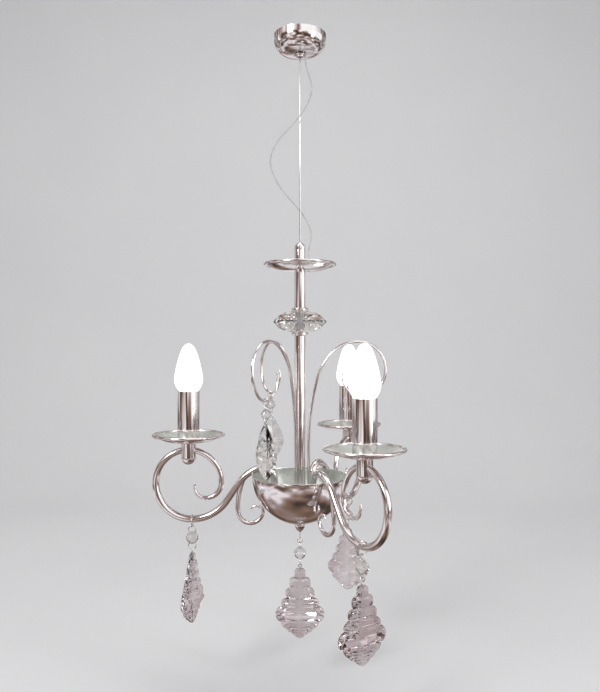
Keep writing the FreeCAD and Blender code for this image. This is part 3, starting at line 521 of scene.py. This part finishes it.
def pan_outline(rim, hole):
    """Closed outline of a shallow dish with a rolled rim, and which of its stretches are the
    lacquered upper face."""
    floor = rim - PAN_DEPTH
    edge = PAN_RADIUS - PAN_LIP * 1.7
    under = [(hole, floor), (PAN_FLAT, floor)]
    over = []
    for step in range(PAN_STEPS + 1):
        share = step / PAN_STEPS
        reach = PAN_BEND + (edge - PAN_BEND) * share
        rise = (PAN_DEPTH - PAN_LIP * 1.5) * share ** PAN_SWEEP
        under.append((reach, floor + rise))
        over.append((reach - 0.0003, floor + 0.0011 + rise * 0.93))
    roll = arc((PAN_RADIUS - PAN_LIP, rim - PAN_LIP), PAN_LIP, -75, 175, 16)
    over = over[::-1] + [(PAN_FLAT, floor + PAN_SHEET), (hole, floor + PAN_SHEET)]
    first = len(under) + len(roll) - 1
    return under + roll + over, range(first, first + len(over))


def make_pan(name, node, hole, at):
    outline, upper = pan_outline(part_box(node)[1].z, hole)
    pan = lathe(name, outline, [chrome, lacquer], at=at, closed=True, segments=128, sharp=70,
                second=upper)
    dress(pan, FIXTURE, "chrome", node)


def make_bowl():
    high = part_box("bowl")[1]
    radius, rim = high.x, high.z
    outer = arc((0, rim), radius, -86, -1.5, 60)
    lip = arc((radius - BOWL_WALL / 2, rim), BOWL_WALL / 2, 0, 180, 8)
    inner = arc((0, rim), radius - BOWL_WALL, -1.5, -86, 60)
    first = len(outer) + len(lip) - 1
    bowl = lathe("bowl_plated", outer + lip + inner, [chrome, lacquer], closed=True, segments=144,
                 sharp=70, second=range(first, first + len(inner)))
    dress(bowl, FIXTURE, "chrome", "bowl")
    low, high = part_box("finial")
    top, eye_level = high.z, low.z + FINIAL_EYE + FINIAL_WIRE
    pin_low = eye_level + FINIAL_EYE
    knob = lathe("finial_knob", fillet([
        (0.0041, top), (0.0065, top, 0.0008), (0.0064, top - 0.0030, 0.0010),
        (0.0055, top - 0.0058, 0.002), (0.0036, top - 0.0086, 0.002),
        (0.0014, top - 0.0104, 0.0008), (FINIAL_WIRE, top - 0.0110, 0.0003),
        (FINIAL_WIRE, pin_low), (0.0, pin_low)]), segments=TURNED)
    eye = torus("finial_eye", (0, 0, eye_level), FINIAL_EYE, FINIAL_WIRE, (0, 1, 0), chrome)
    dress(join("finial_plated", [knob, eye]), FIXTURE, "chrome", "finial")


# ---------------------------------------------------------------- arms and upper wires

RUN_STEPS, ARC_STEP = 6, 3.0    # points on a run, and the most degrees between those on an arc


def radial_route(reach, level, heading, legs):
    """Points of a path in the radial plane: a run is (length,), an arc is (radius, turn)."""
    spot = Vector((reach, level))
    points = [(reach, 0, level)]
    for leg in legs:
        if len(leg) == 1:
            way = math.radians(heading)
            for step in range(1, RUN_STEPS + 1):
                share = leg[0] * step / RUN_STEPS
                points.append((spot.x + math.cos(way) * share, 0,
                               spot.y + math.sin(way) * share))
            spot = spot + Vector((math.cos(way), math.sin(way))) * leg[0]
            continue
        radius, turn = leg
        side = math.copysign(90, turn)
        inward = math.radians(heading + side)
        centre = spot + Vector((math.cos(inward), math.sin(inward))) * radius
        count = max(2, math.ceil(abs(turn) / ARC_STEP))
        for step in range(1, count + 1):
            outward = math.radians(heading + turn * step / count - side)
            points.append((centre.x + radius * math.cos(outward), 0,
                           centre.y + radius * math.sin(outward)))
        heading += turn
        spot = Vector((points[-1][0], points[-1][2]))
    return points


ROUNDING = 1e-9


def taper(points, marks):
    """A radius at each point, from (share of the length, radius) marks."""
    lengths = [0.0]
    for before, after in zip(points, points[1:]):
        lengths.append(lengths[-1] + (Vector(after) - Vector(before)).length)
    radii = []
    for length in lengths:
        share = length / lengths[-1]
        for (low, low_radius), (high, high_radius) in zip(marks, marks[1:]):
            if share <= high + ROUNDING:
                ease = (share - low) / (high - low)
                radii.append(low_radius + (high_radius - low_radius) * ease)
                break
    return radii


# the routes start straight up, these far from the axis; radii are (share of the length, radius)
ARM_FOOT, BOW_FOOT = 0.0313983, 0.0106
ARM_LEGS = [(0.031,), (0.014, -105), (0.0446, -40), (0.0282,), (0.052, 55), (0.0448, 90),
            (0.0404, 90), (0.0404, 90), (0.019, 90), (0.014, 105)]
ARM_RADII = [(0, 0.00425), (0.36, 0.00425), (0.50, 0.0044), (0.62, 0.0040), (0.76, 0.0036),
             (0.90, 0.0031), (0.97, 0.0022), (1.0, 0.0010)]
BOW_LEGS = [(0.076,), (0.300, -15), (0.075, -30), (0.044, -45), (0.034, -90), (0.038, -45),
            (0.024, -45), (0.025, -90), (0.020, -20)]
BOW_RADII = [(0, 0.00175), (0.85, 0.00175), (0.97, 0.0013), (1.0, 0.0007)]
SMALL_LEGS = [(0.094, -26), (0.0158, -158), (0.008, -165)]
SMALL_RADII = [(0, 0.0030), (0.35, 0.00285), (0.62, 0.0027), (0.9, 0.0018), (1.0, 0.0009)]
# the small scroll leaves the arm part of the way along its third leg
SMALL_SHARE, SMALL_HEADING = 29 / 40, -66


def make_arms():
    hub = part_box("arm_hub")[0].z
    radius, turn = ARM_LEGS[2]
    shoulder = [*ARM_LEGS[:2], (radius, turn * SMALL_SHARE)]
    start = radial_route(ARM_FOOT, hub, 90, shoulder)[-1]
    for name, azimuth in ARMS.items():
        points = radial_route(ARM_FOOT, hub, 90, ARM_LEGS)
        main = swept("main_scroll", [around(point, azimuth) for point in points],
                     taper(points, ARM_RADII), chrome, sides=28)
        curl = radial_route(start[0], start[2], SMALL_HEADING, SMALL_LEGS)
        small = swept("small_scroll", [around(point, azimuth) for point in curl],
                      taper(curl, SMALL_RADII), chrome, sides=20)
        dress(join("arm_scroll_" + name, [main, small]), FIXTURE, "chrome", "arm_" + name)
    for name, azimuth in BOWS.items():
        points = radial_route(BOW_FOOT, hub, 90, BOW_LEGS)
        bow = swept("upper_wire_scroll_" + name, [around(point, azimuth) for point in points],
                    taper(points, BOW_RADII), chrome, sides=18)
        dress(bow, FIXTURE, "chrome", "upper_wire_" + name)


# ---------------------------------------------------------------- candles

CUP_RADIUS, CUP_RIM = 0.009, 0.0098
SLEEVE_RADIUS, SLEEVE_BORE = 0.0135, 0.0125
# the lamp is widest this far above the sleeve's top, and slimmer above it than an ellipse
LAMP_RADIUS, LAMP_WIDEST, LAMP_SLIMMING = 0.0175, 0.014, 0.14
BULB_STEPS = 40
# the lamp's cap and neck: radius, height above the sleeve's top
LAMP_CAP = 0.00675
LAMP_NECK = [(LAMP_CAP, -0.0075), (0.0082, -0.0045), (0.0098, -0.0022), (0.0116, 0.0002),
             (0.0139, 0.0030), (0.0156, 0.0060), (0.0168, 0.0095)]


def lamp_outline(foot, sleeve_top, tip):
    """Half outline of a candle lamp: its cap, its neck, and a bulb that draws in to its tip."""
    glass = [(0.0, foot), (0.0064, foot), (LAMP_CAP, foot + 0.0006)]
    for radius, height in LAMP_NECK:
        glass.append((radius, sleeve_top + height))
    widest = sleeve_top + LAMP_WIDEST
    for step in range(BULB_STEPS + 1):
        share = step / BULB_STEPS
        height = math.sin(share * math.pi / 2)
        slimming = 1 - LAMP_SLIMMING * math.sin(share * math.pi)
        radius = LAMP_RADIUS * math.cos(share * math.pi / 2) * slimming
        glass.append((max(radius, 0.0), widest + (tip - widest) * height))
    return glass


def make_candle(name):
    low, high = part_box("lampholder_" + name)
    at = ((low + high) / 2)[:2]
    low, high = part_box("candle_cup_" + name)
    level = low.z + CUP_RADIUS
    cup = lathe("candle_cup_plated_" + name,
                [(0.0, low.z)] + arc((0, level), CUP_RADIUS, -87, 0, 20) + fillet([
                    (CUP_RADIUS, level + 0.001), (CUP_RADIUS, high.z - 0.0016, 0.0005),
                    (CUP_RIM, high.z - 0.0012, 0.0004), (CUP_RIM, high.z, 0.0003),
                    (0.0048, high.z)]), at=at, segments=TURNED)
    dress(cup, FIXTURE, "chrome", "candle_cup_" + name)
    make_pan("candle_pan_plated_" + name, "candle_pan_" + name, PAN_HOLE, at)
    low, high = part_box("candle_sleeve_" + name)
    sleeve_top = high.z
    turned("candle_sleeve_plated_" + name, "candle_sleeve_" + name, [
        (SLEEVE_BORE, low.z), (SLEEVE_RADIUS, low.z, 0.0003), (SLEEVE_RADIUS, high.z, 0.0004),
        (SLEEVE_BORE, high.z, 0.0004), (SLEEVE_BORE, low.z + 0.0002)], at=at, segments=96)
    low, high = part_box("lamp_" + name)
    lamp = lathe("lamp_glass_" + name, lamp_outline(low.z, sleeve_top, high.z), [opal], at=at,
                 segments=72, sharp=60)
    dress(lamp, "lamp_body_" + name, "opal", "lamp_" + name)


# ---------------------------------------------------------------- crystals


def flat_solid(name, rings):
    """Facets between stacked rings of points of one count, with a flat face at each end."""
    verts, numbers = [], []
    for ring in rings:
        numbers.append(list(range(len(verts), len(verts) + len(ring))))
        verts.extend(ring)
    faces = []
    for low, high in zip(numbers, numbers[1:]):
        for index in range(len(low)):
            after = (index + 1) % len(low)
            faces.append([low[index], low[after], high[index]])
            faces.append([low[after], high[after], high[index]])
    faces += [numbers[0][::-1], numbers[-1]]
    return new_object(name, verts, faces, [clear_crystal], smooth=False)


def cut_ring(centre, radius, height, sides, phase):
    """The corners of a level polygon, turned by a phase in sides."""
    return [(centre[0] + radius * math.cos(math.tau * (index + phase) / sides),
             centre[1] + radius * math.sin(math.tau * (index + phase) / sides), height)
            for index in range(sides)]


# rows of corners, from the lowest: radius, share of the half height, phase in sides; a bead's
# radii are shares of its widest
DISC_RADIUS, DISC_SIDES = 0.0328, 16
DISC_ROWS = [(0.0108, -1, 0), (0.0185, -0.90, 0.5), (0.0262, -0.60, 1), (DISC_RADIUS, -0.06, 1.5),
             (DISC_RADIUS, 0.06, 1.5), (0.0262, 0.60, 2), (0.0185, 0.90, 2.5), (0.0108, 1, 3)]
BEAD_RADIUS, BOW_BEAD_RADIUS, BEAD_SIDES = 0.00785, 0.0060, 10
BEAD_ROWS = [(0.42, -1, 0), (0.80, -0.62, 0.5), (1.0, -0.16, 1), (1.0, 0.16, 1.5),
             (0.80, 0.62, 2), (0.42, 1, 2.5)]
INSIDE = 0.985          # keeps a bead's corners inside its CAD solid


def cut_stack(name, node, body, rows, sides, scale=1.0):
    """A facetted stone that stands for a node and fills its height, from its rows."""
    low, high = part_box(node)
    centre, half = (low + high) / 2, (high.z - low.z) / 2
    rings = [cut_ring(centre, scale * radius, centre.z + half * height, sides, phase)
             for radius, height, phase in rows]
    dress(flat_solid(name, rings), body, "crystal", node)


def make_bead(key):
    widest = (BOW_BEAD_RADIUS if key.startswith("bow") else BEAD_RADIUS) * INSIDE
    cut_stack("bead_cut_" + key, "bead_" + key, "drop_" + key, BEAD_ROWS, BEAD_SIDES, widest)


# half outlines of the pendants: share of the height from the top, share of the half width
LEAF = [(0.0, 0.0), (0.012, 0.14), (0.043, 0.22), (0.10, 0.225), (0.13, 0.215), (0.14, 0.36),
        (0.173, 0.42), (0.23, 0.43), (0.275, 0.40), (0.295, 0.51), (0.33, 0.58), (0.39, 0.585),
        (0.425, 0.555), (0.44, 0.67), (0.465, 0.745), (0.505, 0.765), (0.545, 0.745), (0.56, 0.86),
        (0.595, 0.95), (0.647, 1.0), (0.70, 0.98), (0.745, 0.90), (0.765, 0.79), (0.80, 0.76),
        (0.84, 0.69), (0.863, 0.58), (0.875, 0.52), (0.905, 0.475), (0.925, 0.34), (0.935, 0.28),
        (0.965, 0.22), (0.99, 0.11), (1.0, 0.0)]
ALMOND = [(0.0, 0.0), (0.02, 0.15), (0.08, 0.29), (0.16, 0.46), (0.27, 0.68), (0.38, 0.86),
          (0.49, 0.97), (0.58, 1.0), (0.68, 0.93), (0.78, 0.77), (0.87, 0.54), (0.94, 0.31),
          (0.985, 0.13), (1.0, 0.0)]
# width, thickness at the belly, thickness of the edge, and the belly's share of the height
LEAF_CUT = (LEAF, 0.0605, 0.0195, 0.003, 0.66, crystal)
ALMOND_CUT = (ALMOND, 0.037, 0.0128, 0.002, 0.55, clear_crystal)
# a crown point's share of the ridge's height: the face towards the room is cut in large planes,
# and the far face in steps that flash
NEAR_LIFT, FAR_LIFTS = 0.62, (0.88, 0.88, 0.30, 0.42)
# the crown is a kite: its half width at its ends, what its belly adds, and how far in it starts
KITE_END, KITE_SPREAD, CROWN_START = 0.08, 0.56, 0.04
MERGE_WITHIN = 1e-6


def make_pendant(key, azimuth, cut, front=1):
    """A cut drop that faces the azimuth: an edge, crown facets and a ridge on both faces."""
    outline, width, thick, edge, belly, glass = cut
    low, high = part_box("pendant_" + key)
    centre, height = (low + high) / 2, high.z - low.z
    half, rim = width / 2, edge / 2
    verts, faces = [], []

    def grow(share):
        """From 0 at the top to 1 at the belly and back to 0 at the tip."""
        return share / belly if share < belly else (1 - share) / (1 - belly)

    def add(x, y, z):
        verts.append(around((x, y, 0), azimuth)[:2] + (z,))
        return len(verts) - 1

    rows = []
    for index, (share, wide) in enumerate(outline):
        z = high.z - share * height
        inner_share = CROWN_START + share * (1 - 2 * CROWN_START)
        inner_z = high.z - inner_share * height
        row = {}
        for face in (1, -1):
            lift = NEAR_LIFT if face == front else FAR_LIFTS[index % len(FAR_LIFTS)]
            rise = (thick / 2 - rim) * grow(inner_share)
            row["ridge", face] = add(face * (rim + rise), 0, inner_z)
            for side in (1, -1):
                x = face * (rim + rise * lift)
                y = side * half * (KITE_END + KITE_SPREAD * grow(inner_share))
                row["crown", face, side] = add(x, y, inner_z)
                row["edge", face, side] = add(face * rim, side * half * wide, z)
        rows.append(row)
    for row, after in zip(rows, rows[1:]):
        for side in (1, -1):
            for face in (1, -1):
                edge_a, edge_b = row["edge", face, side], after["edge", face, side]
                crown_a, crown_b = row["crown", face, side], after["crown", face, side]
                ridge_a, ridge_b = row["ridge", face], after["ridge", face]
                faces.append([edge_a, edge_b, crown_a])
                faces.append([edge_b, crown_b, crown_a])
                faces.append([crown_a, crown_b, ridge_b, ridge_a])
            faces.append([row["edge", 1, side], after["edge", 1, side], after["edge", -1, side],
                          row["edge", -1, side]])
    for row in (rows[0], rows[-1]):
        for face in (1, -1):
            faces.append([row["edge", face, 1], row["crown", face, 1], row["ridge", face]])
            faces.append([row["edge", face, 1], row["ridge", face], row["crown", face, -1]])
    shifted = [(x + centre.x, y + centre.y, z) for x, y, z in verts]
    made = new_object("pendant_cut_" + key, shifted, faces, [glass], smooth=False)
    tidy_faces(made, MERGE_WITHIN)
    dress(made, "drop_" + key, "crystal", "pendant_" + key)


# ---------------------------------------------------------------- build

make_flex()
make_canopy()
make_stem()
make_pan("top_pan_plated", "top_pan", TOP_PAN_HOLE, (0, 0))
make_bowl()
make_arms()
for arm in ARMS:
    make_candle(arm)
cut_stack("crystal_disc_cut", "crystal_disc", FIXTURE, DISC_ROWS, DISC_SIDES)
for key, azimuth in ARMS.items():
    make_bead(key)
    make_pendant(key, azimuth + TWISTS.get(key, 0), LEAF_CUT)
for name, azimuth in BOWS.items():
    key = "bow_" + name
    make_bead(key)
    make_pendant(key, azimuth + TWISTS.get(key, 0), ALMOND_CUT)
make_bead("centre")
make_pendant("centre", 90, LEAF_CUT, front=-1)

CAD_LOOKS = {"ceiling_bracket": steel, "canopy_nipple": steel, "terminal_block": white_plastic,
             "cord_bush": black_plastic, "threaded_rod": steel, "arm_hub": steel}
for node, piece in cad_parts.items():
    look = CAD_LOOKS.get(node)
    if node.startswith("lampholder"):
        look = white_plastic
    if node.startswith("drop_rings"):
        look = wire_chrome
    if look:
        for slot in piece.material_slots:
            slot.material = look

# ---------------------------------------------------------------- floor, world and lights

# the floor's level, front edge and half width, and the sweep at its back that goes on to its top
FLOOR = -0.80
FLOOR_FRONT, FLOOR_SIDE, FLOOR_TOP = -1.2, 4, 3.5
SWEEP_START, SWEEP_RADIUS, SWEEP_STEPS = 0.9, 0.6, 12
# painted reflections: what shines sees these in place of the paper and of the even world, a
# made-up warm room with darker and pale parts that lights nothing, as (noise, color) stops; glass
# sees less of the first one
PAINTED_ROOM_REFLECTION = [(0.36, (0.05, 0.035, 0.03)), (0.43, (0.26, 0.16, 0.11)), (0.50, (0.44, 0.36, 0.36)),
        (0.56, (0.95, 0.92, 0.95))]
PAINTED_SKY_REFLECTION = [(0.37, (0.07, 0.05, 0.04)), (0.43, (0.40, 0.27, 0.21)), (0.48, (0.66, 0.60, 0.64)),
       (0.55, (1.1, 1.08, 1.08))]
LESS_IN_GLASS = 0.72
AMBIENT = (0.42, 0.42, 0.425)
# numbers of a color Mix node's sockets, whose names repeat
MIX_A, MIX_B, MIX_RESULT = 6, 7, 2


def mix_rays(tree, share, other, target):
    """Give a socket a second color for a share of the rays, here the painted reflections that
    metal and glass see; returns the first color's socket.
    """
    mix = tree.nodes.new("ShaderNodeMix")
    mix.data_type = "RGBA"
    tree.links.new(share, mix.inputs[0])
    tree.links.new(other, mix.inputs[MIX_B])
    tree.links.new(mix.outputs[MIX_RESULT], target)
    return mix.inputs[MIX_A]


def make_floor():
    """Pale paper that sweeps up behind the object; metal and glass see a painted reflection on it
    in place of its pale colour.
    """
    outline = [(FLOOR_FRONT, 0.0)]
    outline += arc((SWEEP_START, SWEEP_RADIUS), SWEEP_RADIUS, -90, 0, SWEEP_STEPS)
    outline.append((SWEEP_START + SWEEP_RADIUS, FLOOR_TOP))
    verts, faces = [], []
    for y, z in outline:
        verts += [(-FLOOR_SIDE, y, FLOOR + z), (FLOOR_SIDE, y, FLOOR + z)]
    for index in range(len(outline) - 1):
        base = index * 2
        faces.append([base, base + 1, base + 3, base + 2])
    mesh = bpy.data.meshes.new("floor")
    mesh.from_pydata(verts, [], faces)
    mesh.polygons.foreach_set("use_smooth", [True] * len(mesh.polygons))
    floor = bpy.data.objects.new("floor", mesh)
    bpy.context.scene.collection.objects.link(floor)
    paper = material("paper", (0.80, 0.80, 0.81), 0.9)
    vary_color(paper, noise_node(paper, 3, 2), (0.79, 0.79, 0.80), (0.81, 0.81, 0.815))
    tree = paper.node_tree
    target = shader_of(paper).inputs["Base Color"]
    pale = target.links[0].from_socket
    rays = tree.nodes.new("ShaderNodeLightPath")
    # how much of the painted reflection a ray sees: a ray through glass counts as glossy too, so
    # this is 1 in metal and less in glass
    seen = tree.nodes.new("ShaderNodeMath")
    seen.operation = "MULTIPLY_ADD"
    seen.use_clamp = True
    tree.links.new(rays.outputs["Is Transmission Ray"], seen.inputs[0])
    seen.inputs[1].default_value = -LESS_IN_GLASS
    tree.links.new(rays.outputs["Is Glossy Ray"], seen.inputs[2])
    # painted reflection: glossy rays see this patchy warm colour on the paper instead of its pale
    # colour
    room_painted_in_reflections = color_ramp(tree, noise_node(paper, 2.1, 2, (1, 1, 1.6)), PAINTED_ROOM_REFLECTION)
    tree.links.new(pale, mix_rays(tree, seen.outputs[0], room_painted_in_reflections, target))
    mesh.materials.append(paper)


def make_world():
    """Even pale light all round; metal and glass see a painted reflection in it instead, bright
    patches and a warm, darker side.
    """
    world = bpy.data.worlds.new("room_painted_in_reflections")
    bpy.context.scene.world = world
    world.use_nodes = True
    tree = world.node_tree
    back = tree.nodes["Background"]
    place = tree.nodes.new("ShaderNodeTexCoord")
    waves = tree.nodes.new("ShaderNodeTexNoise")
    waves.inputs["Scale"].default_value = 1.6
    waves.inputs["Detail"].default_value = 1.5
    tree.links.new(place.outputs["Generated"], waves.inputs["Vector"])
    rays = tree.nodes.new("ShaderNodeLightPath")
    shiny = tree.nodes.new("ShaderNodeMath")
    shiny.operation = "MAXIMUM"
    tree.links.new(rays.outputs["Is Glossy Ray"], shiny.inputs[0])
    tree.links.new(rays.outputs["Is Transmission Ray"], shiny.inputs[1])
    # painted reflection: glossy and transmission rays see the patchy pattern, all other rays the
    # even grey
    plain = mix_rays(tree, shiny.outputs[0], color_ramp(tree, waves, PAINTED_SKY_REFLECTION), back.inputs["Color"])
    plain.default_value = (*AMBIENT, 1)
    back.inputs["Strength"].default_value = 1.0


def make_light(name, place, target, size, power, color=(1, 1, 1)):
    """A soft rectangular light of so many watts, turned to a target."""
    data = bpy.data.lights.new(name, "AREA")
    data.shape = "RECTANGLE"
    data.size, data.size_y = size
    data.energy = power
    data.color = color
    lamp = bpy.data.objects.new(name, data)
    lamp.location = place
    lamp.rotation_euler = (Vector(target) - Vector(place)).to_track_quat("-Z", "Y").to_euler()
    bpy.context.scene.collection.objects.link(lamp)


make_floor()
make_world()
OBJECT_MIDDLE = (0, 0, -0.4)
make_light("key", (-1.1, -1.2, 0.5), OBJECT_MIDDLE, (0.6, 0.6), 13)
make_light("fill", (1.3, -0.8, -0.1), OBJECT_MIDDLE, (0.3, 1.2), 6, (1.0, 0.98, 1.0))
make_light("top", (0.1, 0.1, 1.1), (0.1, 0.1, 0), (1.4, 1.0), 8)
bpy.context.scene.view_settings.view_transform = "Standard"
